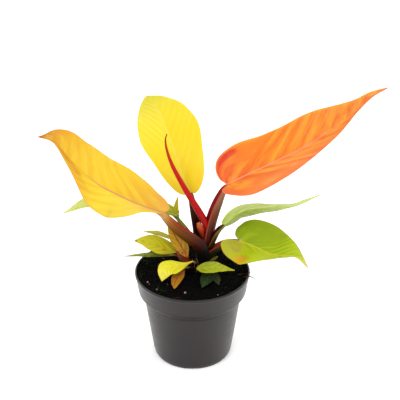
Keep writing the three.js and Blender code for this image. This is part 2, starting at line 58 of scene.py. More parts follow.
# Each blade has a midrib line, the way it faces and the fold of its left and right half in degrees,
# both from stalk to tip, and for each half an outline: (distance along the midrib, distance out from
# it). One fold or one outline serves both halves.
LEAVES = {
    "leaf_right": dict(
        slot="leaf_orange", face=[(-0.5, -0.75, 0.8), (-0.35, -0.6, 0.8)], fold=[[8, 12, 20], [30]],
        rib=[(35, 14, 190), (61, 22, 200), (89, 33, 209), (121, 48, 220), (158, 62, 242), (183, 72, 262),
            (202, 78, 270)],
        left=[(0, 1), (-4, 9), (-3, 20), (3, 29), (14, 34), (32, 36), (56, 33), (84, 32), (105, 31),
            (124, 27), (138, 21), (153, 14), (166, 8), (182, 4), (198, 0.7)],
        right=[(0, 1), (-7, 5), (-7, 14), (-1, 24), (7, 33), (17, 39), (30, 40), (46, 38), (62, 35),
            (78, 30), (95, 25), (113, 21), (127, 17), (140, 11), (154, 6), (174, 4), (198, 0.7)]),
    "leaf_left": dict(
        slot="leaf_amber", face=[(0.45, -0.75, 0.8), (0.2, -0.6, 0.8)],
        fold=[[55, 45, -5, 5, 20, 30, 30], [0, 5, 10]],
        rib=[(-28, -6, 168), (-50, -9, 178), (-71, -8, 188), (-96, -3, 201), (-119, 6, 221),
            (-136, 14, 238), (-153, 18, 241)],
        left=[(0, 1), (2, 5), (8, 8), (16, 11), (25, 17), (35, 23), (47, 26), (59, 27), (70, 25.5),
            (81, 20), (94, 14), (108, 9.5), (122, 6), (136, 3), (151, 0.7)],
        right=[(0, 1), (-4, 4), (-3, 10), (3, 15), (11, 19), (21, 24), (35, 28), (52, 31), (72, 31),
            (93, 28), (112, 24), (127, 20), (136, 13), (144, 5), (151, 0.7)]),
    "leaf_centre": dict(
        slot="leaf_yellow", face=[(0.3, -0.9, 0.3), (0, -0.5, 0.8)], fold=[[15, 10, 0], [35, 20, 0]],
        rib=[(-2, 28, 174), (-12, 40, 192), (-20, 58, 211), (-28, 80, 223), (-37, 108, 233),
            (-51, 138, 238)],
        left=[(0, 1), (-1, 5), (2, 11), (8, 15), (17, 19), (27, 23), (38, 27), (49, 31), (62, 33),
            (77, 31), (92, 28), (112, 22), (128, 14), (138, 6), (142, 0.7)],
        right=[(0, 1), (-3, 4), (-2, 9), (1, 14), (7, 20), (16, 25), (28, 28), (42, 30), (55, 33),
            (69, 34), (85, 32), (99, 28), (110, 23), (120, 18), (131, 12), (139, 5), (142, 0.7)]),
    "leaf_side": dict(
        slot="leaf_pale_green", face=[(-0.4, 0.75, 0.5), (0, 0.85, 0.5)], fold=[[10]],
        rib=[(33, 0, 152), (51, 6, 164), (78, 14, 164), (104, 22, 162), (120, 28, 165), (132, 32, 169)],
        left=[(0, 1), (-2, 6), (1, 13), (7, 19), (15, 22), (26, 23), (36, 21), (46, 17), (56, 14),
            (66, 11), (77, 7), (88, 4), (98, 2), (109, 0.6)],
        right=[(0, 1), (-2, 4), (1, 8), (9, 11), (18, 11), (28, 9), (44, 7), (58, 4), (78, 4), (94, 3),
            (109, 0.6)]),
    "leaf_low_right": dict(
        slot="leaf_green", face=[(0.1, -0.45, 0.9), (0.5, -0.45, 0.7)], fold=[[5], [20, 20, 25, 30, 30]],
        rib=[(48, -2, 134), (64, -8, 130), (81, -18, 127), (98, -28, 131), (107, -36, 133),
            (115, -42, 126)],
        left=[(0, 1), (-6, 4), (-8, 11), (-6, 18), (-2, 25), (5, 30), (14, 33), (24, 34), (34, 32),
            (44, 28), (53, 21), (60, 14), (67, 7), (75, 3), (82, 0.6)],
        right=[(0, 1), (-7, 2), (-13, 7), (-15, 14), (-12, 22), (-6, 30), (2, 35), (10, 38), (20, 39),
            (28, 34), (34, 24), (41, 13), (51, 8), (62, 6), (74, 4), (82, 0.6)]),
    "leaf_rear_left": dict(
        slot="leaf_lime", face=[(0.3, -0.3, 0.9), (-0.1, -0.2, 0.9)], fold=[[30, 30, 20], [40, 20, 10]],
        rib=[(-16, 37, 142.5), (-45, 42, 148), (-77, 46, 152), (-111, 50, 148), (-139, 52, 137)],
        left=[(0, 1), (-1, 4), (6, 7), (22, 10), (44, 13), (68, 14), (92, 11), (111, 5), (127, 0.6)],
        right=[(0, 1), (-1, 5), (6, 8), (22, 12), (44, 16), (68, 17), (92, 14), (111, 7), (127, 0.6)]),
    "young_left_1": dict(
        slot="leaf_lime", face=[(0, -0.5, 0.8)], fold=[[25]],
        rib=[(-21, 10, 129), (-32, 12, 133), (-44, 14, 135), (-51, 15, 135)],
        left=[(0, 0.5), (3, 1.8), (10, 2.8), (18, 2.8), (25, 1.8), (31.5, 0.3)],
        right=[(0, 0.5), (3, 2), (9, 3), (17, 3), (25, 1.6), (31.5, 0.3)]),
    "young_left_2": dict(
        slot="leaf_lime", face=UPWARD, fold=[[8]],
        rib=[(-13, 4, 117), (-27, 0, 123), (-41, -3, 130), (-59, -6, 136)],
        left=[(0, 0.6), (5, 2.5), (13, 5.5), (22, 9), (30, 9.5), (37, 7), (44, 3), (51, 0.4)],
        right=[(0, 0.6), (3, 3), (7, 6), (13, 9.5), (21, 10.8), (30, 11), (39, 8.5), (45, 5), (51, 0.4)]),
    "young_left_3": dict(
        slot="leaf_green", face=UPWARD, fold=[[30]],
        rib=[(-18, -2, 117), (-38, -6, 119), (-54, -8, 120), (-70, -10, 120)],
        left=[(0, 0.5), (8, 2), (20, 3), (32, 2.8), (43, 1.4), (53, 0.3)]),
    "young_left_4": dict(
        slot="leaf_amber", face=[(0.1, -0.9, 0.4)], fold=[[12]],
        rib=[(-5, 0, 113), (-10, 2, 122), (-17, 5, 134), (-25, 9, 150)],
        left=[(0, 0.8), (3, 3), (9, 5.5), (17, 7), (25, 7), (33, 5), (39, 2.4), (43, 0.4)],
        right=[(0, 0.8), (3, 3), (8, 6), (15, 7.5), (24, 7.5), (33, 5), (39, 2.2), (43, 0.4)]),
    "young_front_1": dict(
        slot="leaf_yellow", face=UPWARD, fold=[[5]],
        rib=[(1, -6, 112), (-10, -11, 111), (-23, -15, 111), (-29, -20, 108), (-31, -26, 100)],
        left=[(0, 0.7), (6, 1.8), (12, 5), (18, 9), (25, 11), (32, 9.5), (38, 7), (42, 3), (44.6, 0.4)],
        right=[(0, 0.7), (6, 1), (12, 2.2), (18, 4.4), (25, 7), (30, 8.4), (35, 6.4), (40, 3.4),
            (44.6, 0.4)]),
    "young_front_2": dict(
        slot="leaf_rust", face=UPWARD, fold=[[5]],
        rib=[(-9, -8, 105), (-13, -15, 102), (-17, -25, 99), (-18, -36, 97.5)],
        left=[(0, 0.5), (3, 3), (9, 5.4), (16, 5.6), (23, 4.4), (28, 2.2), (31, 0.4)],
        right=[(0, 0.5), (3, 3), (8, 5.8), (15, 5.8), (22, 4), (28, 2), (31, 0.4)]),
    "young_right_1": dict(
        slot="leaf_lime", face=UPWARD, fold=[[8]],
        rib=[(4, -14, 108), (16, -18, 111), (30, -22, 113), (43, -26, 113)],
        left=[(0, 0.6), (3, 3.4), (8, 6), (15, 7), (22, 6.4), (29, 3.8), (35, 1.8), (41.5, 0.3)],
        right=[(0, 0.6), (3, 3), (7, 5.5), (13, 6.6), (20, 6), (28, 4.3), (35, 2), (41.5, 0.3)]),
    "young_right_2": dict(
        slot="leaf_dark_green", face=UPWARD, fold=[[5]],
        rib=[(19, -15, 103), (16, -20, 101.5), (12, -29, 99.5), (10, -35, 98)],
        left=[(0, 0.6), (2, 3.4), (6, 6), (11, 6), (16, 4), (20, 1.6), (22.4, 0.3)],
        right=[(0, 0.6), (2, 3.2), (6, 5.8), (11, 6), (16, 4), (20, 1.6), (22.4, 0.3)]),
    "young_right_3": dict(
        slot="leaf_dark_green", face=UPWARD, fold=[[5]],
        rib=[(22, -15, 103), (25, -23, 100.5), (27, -30, 98)],
        left=[(0, 0.6), (2, 2.4), (6, 4.2), (10, 3.6), (14, 1.6), (16.5, 0.3)]),
    "young_rear": dict(
        slot="leaf_yellow", face=[(0.2, -0.9, 0.3)], fold=[[15]],
        rib=[(-15, 38, 136), (-17, 39, 146), (-17, 39, 155), (-15, 38, 164)],
        left=[(0, 0.8), (4, 1.8), (11, 2.6), (18, 2.4), (24, 1.3), (29, 0.3)]),
    "young_left_5": dict(
        slot="leaf_rust", face=[(0.1, -0.9, 0.4)], fold=[[10]],
        rib=[(-4, 1, 107), (-8, 0.5, 111), (-12, -0.5, 116), (-16.5, -1, 120.5)],
        left=[(0, 0.8), (3, 3.4), (8, 4.8), (13, 3.6), (17, 1.4), (19, 0.4)],
        right=[(0, 0.8), (3, 3), (8, 4.2), (13, 3.2), (17, 1.4), (19, 0.4)]),
}

# Each stalk has a line from its foot up, the way its channel faces, half widths, half depths where they
# differ from the widths, and how far the channel is open, from 0 to 1, all from foot to end.
STALKS = {
    "stem": dict(
        slot="stalk_brown", face=(0, -1, 0), channel=0, line=[(9, 20, 82), (10, 17, 98), (12, 13, 116)],
        wide=[7, 7, 8, 7, 3]),
    "stalk_left": dict(
        slot="stalk_brown", face=(0.74, 0.45, 0.5), channel=[0, 0.2, 0.9, 1, 1, 1],
        line=[(10, 5, 94), (11, 5, 106), (11, 4, 118), (7.2, 2, 129.3), (-1.8, -1, 139), (-14, -4, 150.4),
            (-24, -6, 162), (-29, -6.6, 167), (-38, -7.6, 171)],
        wide=[6, 6.5, 8, 9, 8.5, 8, 6.5, 4.5, 1.2], deep=[5.5, 6.2, 7.6, 8.5, 8.3, 7.8, 7, 5, 1]),
    "stalk_right": dict(
        slot="stalk_brown", face=(-0.95, -0.17, 0.26), channel=[0.4, 0.9, 1, 1],
        line=[(12, 12, 104), (14, 12, 122), (16.8, 12, 142), (22.6, 12, 164), (32.5, 13.5, 186),
            (41, 17, 190.5)],
        wide=[7, 7, 6.8, 6.4, 6, 5.2, 4.2, 1.2], deep=[7, 7.2, 7.2, 7.2, 7, 6.2, 4.2, 0.8]),
    "stalk_low_right": dict(
        slot="stalk_brown", face=(-0.5, 0, 0.85), channel=[0, 0.7, 1, 1],
        line=[(9, 8, 94), (15, 6, 112), (24, 2, 123), (35, 0, 130.5), (47, -2.5, 133), (55, -5, 129.5)],
        wide=[4, 5, 5.5, 5, 4, 3, 1], deep=[5, 6, 6.4, 5.4, 4, 2.4, 0.8]),
    "stalk_side": dict(
        slot="stalk_brown", face=(-0.92, -0.11, 0.39), channel=1,
        line=[(14, 10, 108), (20, 7, 128), (26, 4, 142), (32, 0.5, 150), (38, 1.5, 155)],
        wide=[4.4, 4.2, 4, 3.6, 3.2, 2.4, 1], deep=[4.6, 4.6, 4.2, 3.8, 3.2, 2.2, 0.8]),
    "stalk_centre": dict(
        slot="stalk_brown", face=(0.1, -0.9, 0.2), channel=0.8,
        line=[(11, 19, 105), (7, 24, 124), (3, 27, 146), (-2, 29.5, 171.5), (-6, 35, 178)],
        wide=[6, 6, 5.6, 5, 4.6, 4, 3, 1], deep=[5, 5, 4.6, 4.2, 3.8, 3, 1.8, 0.8]),
    "stalk_rear_left": dict(
        slot="leaf_lime", face=(0.6, -0.1, 0.8), channel=0.6,
        line=[(9, 24, 104), (0, 30, 119), (-10, 34, 132), (-19, 37.5, 141.5), (-28, 39, 144)],
        wide=[3.5, 3.2, 3, 2.8, 2.4, 1], deep=[3, 3, 2.8, 2.4, 1.8, 0.8]),
    "new_leaf": dict(
        slot="new_leaf_red", face=(0.3, -0.9, 0.3), channel=0,
        line=[(15.5, 11, 138), (13.1, 9.4, 149), (6.3, 13, 160.6), (-7.7, 18, 183.8), (-19.4, 24, 204.9),
            (-25.2, 29, 219.8), (-27, 31, 231.7), (-25.3, 32, 238)],
        wide=[3.2, 3.7, 3.6, 3.2, 2.8, 2.4, 2.1, 1.6, 1.1, 0.4]),
    "new_leaf_sheath": dict(
        slot="leaf_orange", face=(0.2, -0.9, 0.3), channel=0,
        line=[(11, 6.5, 132), (9, 5.6, 142), (6, 5, 151)], wide=[1.4, 2.2, 3, 3.2, 1.8],
        deep=[1.4, 1.6, 1.6, 1.2, 0.5]),
}

# A shoot is a bundle of short branches, one to each young leaf: (line, half widths).
SHOOTS = {
    "shoot_left": [
        ([(-1, 12, 84), (-2, 11, 97), (-4, 8, 106)], [4, 4, 3, 1]),
        ([(-2, 11, 100), (-4, 4, 108), (-5, 0.5, 113.5)], [2.2, 2.2, 1.2]),
        ([(-3, 11, 98), (-9, 8, 110), (-14, 3.6, 117.6)], [2.2, 1.8, 0.9]),
        ([(-3, 12, 98), (-13, 12, 116), (-22, 10, 129.5)], [2.2, 1.7, 0.7]),
        ([(-3, 10, 98), (-11, 3, 111), (-20, -2.4, 117.3)], [2.2, 1.7, 0.7]),
        ([(-1, 8, 98), (-2, 4, 103), (-5, 1, 108)], [2, 1.5, 0.8]),
    ],
    "shoot_front": [
        ([(4, 2, 84), (4, 0, 97), (3, -2, 105)], [3.2, 3, 2.4, 1]),
        ([(4, -1, 99), (3.5, -4, 108), (0, -6.4, 112)], [1.8, 1.5, 0.8]),
        ([(4, -1, 98), (-2, -7, 105), (-9.6, -9, 105)], [1.6, 1.3, 0.8]),
    ],
    "shoot_right": [
        ([(12, -3, 84), (12, -5, 95), (10, -8, 101)], [3.2, 3, 2.4, 1]),
        ([(11, -6, 98), (7, -11, 105), (5, -14.4, 108.3)], [1.8, 1.4, 0.8]),
        ([(11, -7, 98), (15, -11, 101), (19, -15.4, 102.8)], [1.6, 1.3, 0.8]),
        ([(12, -7, 98), (18, -11, 101), (22, -15.4, 102.8)], [1.6, 1.3, 0.8]),
        ([(12, -4, 92), (15.5, 0, 101), (20, 1.5, 107.5), (26, 3, 112)], [2.4, 2.8, 2.6, 1]),
    ],
}


# ---- curves -------------------------------------------------------------------------------
def unit(v):
    return v / np.linalg.norm(v, axis=-1, keepdims=True)


class Path:
    """A smooth line through a few points, read by its share of length from 0 to 1."""

    def __init__(self, points, count=240):
        p = np.array(points, float)
        e = np.vstack([2 * p[0] - p[1], p, 2 * p[-1] - p[-2]])
        n = len(p) - 1
        s = np.linspace(0, n, count + 1)
        i = np.minimum(s.astype(int), n - 1)
        t = (s - i)[:, None]
        a, b, c, d = e[i], e[i + 1], e[i + 2], e[i + 3]
        line = 0.5 * (2 * b + (c - a) * t + (2 * a - 5 * b + 4 * c - d) * t**2
                      + (3 * b - a - 3 * c + d) * t**3)
        steps = np.linalg.norm(np.diff(line, axis=0), axis=1)
        run = np.concatenate([[0], np.cumsum(steps)])
        self.length = run[-1]
        self.share = np.linspace(0, 1, count + 1)
        even = self.share * self.length
        self.line = np.stack([np.interp(even, run, line[:, k]) for k in range(3)], 1)
        self.tangent = unit(np.gradient(self.line, axis=0))

    def at(self, s):
        """The places and the directions at shares s."""
        spot = np.stack([np.interp(s, self.share, self.line[:, k]) for k in range(3)], -1)
        ahead = np.stack([np.interp(s, self.share, self.tangent[:, k]) for k in range(3)], -1)
        return spot, unit(ahead)


def along(values, t):
    """Evenly spaced values joined by straight lines."""
    values = np.atleast_1d(np.asarray(values, float))
    return np.interp(t, np.linspace(0, 1, len(values)), values) if len(values) > 1 else values[0] + 0 * t


def outline(points, count):
    """A smooth curve through a half leaf's outline, as evenly spaced distances along and out."""
    curve = Path([(x, w, 0) for x, w in points]).at(np.linspace(0, 1, count))[0]
    return curve[:, 0], np.maximum(curve[:, 1], 0.2)


# ---- meshes -------------------------------------------------------------------------------
def add_object(name, data):
    thing = bpy.data.objects.new(name, data)
    bpy.context.scene.collection.objects.link(thing)
    return thing


def make_mesh(name, points, faces, smooth=True, uv=None, **attributes):
    """An object from points in millimetres, with its own UV map and one float per point per attribute."""
    mesh = bpy.data.meshes.new(name)
    mesh.from_pydata((np.asarray(points) * MM).tolist(), [], [tuple(f) for f in faces])
    if uv is not None:
        layer = mesh.uv_layers.new(name="own_uv")
        corner = np.empty(len(mesh.loops), np.int32)
        mesh.loops.foreach_get("vertex_index", corner)
        layer.data.foreach_set("uv", np.asarray(uv, np.float32)[corner].ravel())
    for key, values in attributes.items():
        layer = mesh.attributes.new(key, "FLOAT", "POINT")
        layer.data.foreach_set("value", np.asarray(values, np.float32))
    mesh.polygons.foreach_set("use_smooth", [smooth] * len(mesh.polygons))
    mesh.validate()
    return add_object(name, mesh)


def add_piece(thing, material, stands_for=()):
    thing.data.materials.append(material)
    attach(thing, "root")
    if stands_for:
        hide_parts(*stands_for)


def grid_faces(rows, columns, start=0, flip=False, wrap=False):
    faces = []
    for i in range(rows - 1):
        for j in range(columns if wrap else columns - 1):
            a = start + i * columns + j
            b = start + i * columns + (j + 1) % columns
            quad = (a, b, b + columns, a + columns)
            faces.append(quad[::-1] if flip else quad)
    return faces


def tube_faces(rings, corners):
    """Faces round a tube of rings, with a flat cap on each end."""
    faces = grid_faces(rings, corners, wrap=True)
    faces.append(tuple(range(corners - 1, -1, -1)))
    faces.append(tuple(range((rings - 1) * corners, rings * corners)))
    return faces


def turned(profile, corners):
    """Rings of points: a profile of (radius, height) turned round the pot's axis."""
    turn = np.linspace(0, 2 * np.pi, corners, endpoint=False)
    return np.array([[(r * math.cos(a), r * math.sin(a), z) for a in turn] for r, z in profile])


def join_parts(parts):
    """Several (points, faces, values) parts as one set of arrays."""
    points, faces, values, start = [], [], [], 0
    for p, f, v in parts:
        points.append(p)
        faces += [tuple(i + start for i in face) for face in f]
        values.append(v)
        start += len(p)
    return np.vstack(points), faces, np.concatenate(values)


# ---- leaves -------------------------------------------------------------------------------
def blade_border(rows, columns):
    """The corners round a grid's edge, in order."""
    return (list(range(columns)) + [i * columns + columns - 1 for i in range(1, rows)]
            + [(rows - 1) * columns + j for j in range(columns - 2, -1, -1)]
            + [i * columns for i in range(rows - 2, 0, -1)])


def sharpen_border(thing, border, count):
    """Marks both rims of a blade's thin edge as sharp."""
    rim = {frozenset(pair) for pair in zip(border, border[1:] + border[:1])}
    rim |= {frozenset((i + count, j + count)) for i, j in rim}
    sharp = [frozenset(e.vertices) in rim for e in thing.data.edges]
    thing.data.attributes.new("sharp_edge", "BOOLEAN", "EDGE").data.foreach_set("value", sharp)


def leaf_mesh(name, leaf, veins, rows, half_columns, thick, quilt, ripple):
    """A blade whose rows follow its side veins, with a channelled midrib and raised cells between veins."""
    columns = 2 * half_columns + 1
    path = Path(leaf["rib"])
    ends = {side: outline(leaf.get(side, leaf["left"]), rows) for side in ("left", "right")}
    # A side vein runs about two parts forward to one out, so each row starts back along the midrib.
    lean = sum(x - 2.0 * w for x, w in ends.values()) / 2
    steady = np.linspace(0, path.length, rows)
    origin = 0.9 * np.maximum.accumulate(np.clip(lean, 0, path.length)) + 0.1 * steady
    origin = (origin - origin[0]) * path.length / (origin[-1] - origin[0])
    # q runs across the blade from -1 at the left edge to 1 at the right edge, and a is its size.
    q = np.broadcast_to(np.linspace(-1, 1, columns), (rows, columns))
    is_left = q < 0
    a = np.abs(q)
    end_x = np.where(is_left, ends["left"][0][:, None], ends["right"][0][:, None])
    end_w = np.where(is_left, ends["left"][1][:, None], ends["right"][1][:, None])
    start = origin[:, None] + 0 * q
    x = start + (end_x - start) * a**1.1
    reach = end_w * a
    t = np.clip(x / path.length, 0, 1)
    share = start / path.length
    # The frame at each point: ahead along the midrib, left across the blade, and up out of it.
    spot, ahead = path.at(t)
    spot = spot + ahead * (x - t * path.length)[..., None]
    first, last = np.array(leaf["face"][0], float), np.array(leaf["face"][-1], float)
    face = first * (1 - t[..., None]) + last * t[..., None]
    left = unit(np.cross(face, ahead))
    up = np.cross(ahead, left)
    fold = np.radians(np.where(is_left, along(leaf["fold"][0], t), along(leaf["fold"][-1], t)))
    # The fold starts softly at the midrib, cells rise between the veins, and the edge waves.
    ease = 1 - np.exp(-reach / 3.0)
    arch = np.sin(np.pi * a) * np.sin(np.pi * np.clip(share, 0, 1))**0.5
    cells = quilt * np.sin(2 * np.pi * veins * share) * arch
    wave = ripple * a**3 * np.sin(np.pi * share) * np.sin(2 * np.pi * (2.6 * share + 0.37 * is_left + 0.2))
    rise = reach * np.sin(fold) * ease + cells + wave
    out = np.where(is_left, 1, -1) * reach * np.cos(fold)
    middle = spot + left * out[..., None] + up * rise[..., None]
    # The blade thins to its edge. The midrib is a channel on top and a ridge underneath.
    rib_half = 1.8 * (1 - 0.6 * share) * min(1, thick / 0.5)
    channel = np.exp(-(reach / rib_half)**2) * (1 - 0.7 * share)
    full = thick / 2 * (0.5 + 0.5 * np.sqrt(np.maximum(1 - a**4, 0)))
    top = middle + up * (full - 0.6 * channel * thick)[..., None]
    under = middle - up * (full + 1.9 * channel * thick)[..., None]
    count = rows * columns
    points = np.vstack([top.reshape(-1, 3), under.reshape(-1, 3)])
    faces = grid_faces(rows, columns, 0, flip=True) + grid_faces(rows, columns, count)
    border = blade_border(rows, columns)
    for near, far in zip(border, border[1:] + border[:1]):
        faces.append((near, far, far + count, near + count))
    uv = np.stack([share, 0.5 + 0.5 * q], -1).reshape(-1, 2)
    edge = (1 - a) * np.hypot(end_x - start, end_w)
    thing = make_mesh(name, points, faces, uv=np.vstack([uv, uv]), along=np.tile(t.ravel(), 2),
                      rib_mm=np.tile(reach.ravel(), 2), edge_mm=np.tile(edge.ravel(), 2),
                      under=np.repeat([0.0, 1.0], count))
    sharpen_border(thing, border, count)
    return thing


# ---- stalks -------------------------------------------------------------------------------
def stalk_arrays(line, face, wide, deep, channel, rings=48, corners=36):
    """A swept stalk with a round back and, on its upper side, a channel between two raised margins."""
    path = Path(line)
    s = np.linspace(0, 1, rings)[:, None]
    angle = np.linspace(0, 2 * np.pi, corners, endpoint=False)[None, :]
    s, angle = np.broadcast_arrays(s, angle)
    spot, ahead = path.at(s)
    across = unit(np.cross(np.broadcast_to(np.array(face, float), ahead.shape), ahead))
    up = np.cross(ahead, across)
    sine, cosine = np.sin(angle), np.cos(angle)
    # The open section's upper side: a low floor that climbs to a margin and turns over it.
    from_middle = np.abs(cosine)
    climb = np.clip((from_middle - 0.4) / 0.53, 0, 1)
    wing = -0.15 + 0.65 * climb**2 * (3 - 2 * climb)
    wing = np.where(from_middle > 0.93, 0.5 * np.sqrt(np.clip((1 - from_middle) / 0.07, 0, 1)), wing)
    open_share = along(channel, s)
    upper = open_share * wing + (1 - open_share) * sine
    height = np.where(sine > 0, upper, sine)
    points = spot + across * (along(wide, s) * cosine)[..., None]
    points = points + up * (along(deep, s) * height)[..., None]
    uv = np.stack([s, angle / (2 * np.pi)], -1).reshape(-1, 2)
    return points.reshape(-1, 3), tube_faces(rings, corners), uv


# ---- shader building ----------------------------------------------------------------------
def colour(text):
    """A linear colour from its usual six-figure name."""
    parts = [int(text[i:i + 2], 16) / 255 for i in (1, 3, 5)]
    return tuple(c / 12.92 if c <= 0.04045 else ((c + 0.055) / 1.055)**2.4 for c in parts) + (1.0,)


def pigment(text):
    """The base colour that is seen as the named one once the studio's light and the sheen are added."""
    return tuple(max(c / LIGHT - SHEEN, 0.001) for c in colour(text)[:3]) + (1.0,)


class Look:
    """A material made of nodes, with short calls for the nodes that the looks below share."""

    def __init__(self, name, roughness=0.45, specular=0.5, subsurface=0.0):
        self.material = bpy.data.materials.new(name)
        self.material.use_nodes = True
        self.tree = self.material.node_tree
        self.tree.nodes.clear()
        self.skin = self.node("BsdfPrincipled")
        self.node("OutputMaterial", Surface=self.skin.outputs[0])
        self.dress("Roughness", roughness)
        self.dress("Specular IOR Level", specular)
        if subsurface:
            self.dress("Subsurface Weight", subsurface)
            self.dress("Subsurface Radius", (0.004, 0.003, 0.001))
            self.dress("Subsurface Scale", 1.0)

    def put(self, socket, value):
        """Links a socket to another node's output, or sets it to a constant. Text is a colour."""
        if isinstance(value, bpy.types.NodeSocket):
            self.tree.links.new(value, socket)
        else:
            socket.default_value = pigment(value) if isinstance(value, str) else value

    def node(self, kind, *values, **named):
        """A new node with its first inputs, and those that are named, linked or set."""
        made = self.tree.nodes.new("ShaderNode" + kind)
        for socket, value in zip(made.inputs, values):
            self.put(socket, value)
        for name, value in named.items():
            self.put(made.inputs[name], value)
        return made

    def dress(self, name, value):
        self.put(self.skin.inputs[name], value)

    def math(self, kind, a, b=0.0, c=0.0):
        node = self.node("Math", a, b, c)
        node.operation = kind
        return node.outputs[0]

    def add(self, a, b):
        return self.math("ADD", a, b)

    def minus(self, a, b):
        return self.math("SUBTRACT", a, b)

    def times(self, a, b):
        return self.math("MULTIPLY", a, b)

    def step(self, value, low, high, to_low=0.0, to_high=1.0):
        """A smooth step: to_low where value is at low, to_high where it is at high."""
        node = self.node("MapRange", value, low, high, to_low, to_high)
        node.interpolation_type = "SMOOTHSTEP"
        return node.outputs[0]

    def mix(self, amount, a, b):
        """Colour a mixed with colour b by an amount. The node's colour sockets are 6, 7 and output 2."""
        node = self.node("Mix", amount)
        node.data_type = "RGBA"
        self.put(node.inputs[6], a)
        self.put(node.inputs[7], b)
        return node.outputs[2]

    def ramp(self, value, stops):
        """Colours along a value, from (place, colour) stops."""
        node = self.node("ValToRGB", value)
        band = node.color_ramp
        for element, (place, text) in zip(band.elements, (stops[0], stops[-1])):
            element.position = place
            element.color = pigment(text)
        for place, text in stops[1:-1]:
            band.elements.new(place).color = pigment(text)
        return node.outputs[0]

    def value(self, name):
        """A mesh attribute."""
        node = self.node("Attribute")
        node.attribute_name = name
        return node.outputs["Fac"]

    def split(self, vector):
        return self.node("SeparateXYZ", vector).outputs

    def uv(self):
        """The piece's own UV map as a vector, and its two halves."""
        node = self.node("UVMap")
        node.uv_map = "own_uv"
        halves = self.split(node.outputs[0])
        return node.outputs[0], halves[0], halves[1]

    def place(self, scale=(1, 1, 1), vector=None):
        """A scaled vector, of the object's own coordinates unless another is given."""
        source = self.node("TexCoord").outputs["Object"] if vector is None else vector
        return self.node("Mapping", Vector=source, Scale=scale).outputs[0]

    def noise(self, scale, detail, rough, vector=None):
        """Noise whose scale is one number, or three to stretch it."""
        if isinstance(scale, tuple):
            source, scale = self.place(scale, vector), 1.0
        else:
            source = self.place(vector=vector)
        node = self.node("TexNoise", Vector=source, Scale=scale, Detail=detail, Roughness=rough)
        return node.outputs["Fac"]

    def bump(self, height, strength, distance):
        node = self.node("Bump", Strength=strength, Distance=distance, Height=height)
        self.dress("Normal", node.outputs[0])

    def paint(self, base):
        self.dress("Base Color", base)
        return self.material


# ---- leaf and stalk looks -----------------------------------------------------------------
def leaf_look(name, left, right, rib, margin, light, dark, veins, streaks=0.5, under=None,
              rib_half=1.0, rib_fade=0.9, margin_wide=1.0, flush=None, shore=None, patches=()):
    """A waxy leaf. left and right are each half's colours from stalk to tip. Light and dark streaks run
    out along the side veins. flush and shore are (colour, reach in mm, amount) at the right and the left
    half's edge. Each patch is (along, q, size along, size in q, colour, amount)."""
    look = Look(name, specular=0.25, subsurface=0.08)
    vector, row, v = look.uv()
    q = look.math("MULTIPLY_ADD", v, 2.0, -1.0)
    cloud = look.minus(look.noise(32, 3, 0.55), 0.5)
    fine = look.noise(300, 4, 0.6)
    t = look.add(look.value("along"), look.times(cloud, 0.16))
    on_left = look.step(q, -0.02, 0.02, 1.0, 0.0)
    base = look.mix(on_left, look.ramp(t, right), look.ramp(t, left))
    for along_leaf, across, size_along, size_across, text, amount in patches:
        away_t = look.math("DIVIDE", look.minus(t, along_leaf), size_along)
        away_q = look.math("DIVIDE", look.minus(q, across), size_across)
        away = look.add(look.times(away_t, away_t), look.times(away_q, away_q))
        base = look.mix(look.step(away, 0.25, 1.3, amount, 0.0), base, text)

    wide = look.noise((veins * 1.5, 2.4, 1), 3, 0.55, vector)
    thin = look.noise((veins * 5.5, 4.5, 1), 2, 0.5, vector)
    wave = look.math("SINE", look.times(look.add(row, look.times(cloud, 0.02)), 2 * math.pi * veins))
    bands = look.add(look.times(wave, 0.07), look.add(look.times(wide, 0.6), look.times(thin, 0.4)))
    base = look.mix(look.step(bands, 0.48, 0.66, 0.0, streaks), base, light)
    base = look.mix(look.step(bands, 0.49, 0.36, 0.0, streaks), base, dark)

    for tint, half in ((flush, look.minus(1.0, on_left)), (shore, on_left)):
        if tint:
            near = look.step(look.value("edge_mm"), 0.5, tint[1], tint[2], 0.0)
            base = look.mix(look.times(near, half), base, tint[0])
    line = look.times(look.step(look.value("rib_mm"), rib_half * 0.4, rib_half * 1.4, 0.9, 0.0),
                      look.step(look.value("along"), rib_fade, rib_fade - 0.3))
    base = look.mix(line, base, rib)
    hem = look.times(look.step(look.value("edge_mm"), 0.2, margin_wide, 0.8, 0.0),
                     look.step(fine, 0.25, 0.6, 0.6, 1.0))
    base = look.mix(hem, base, margin)
    if under:
        base = look.mix(look.value("under"), base, look.mix(0.6, base, under))
    freckles = look.step(look.noise(420, 2, 0.5), 0.68, 0.76, 0.0, 0.25)
    base = look.mix(freckles, base, dark)

    look.dress("Roughness", look.step(fine, 0.3, 0.7, 0.42, 0.58))
    height = look.add(look.times(wave, 0.1), look.times(thin, 0.5))
    look.bump(look.add(height, look.times(fine, 0.3)), 0.3, 0.0006)
    return look.paint(base)


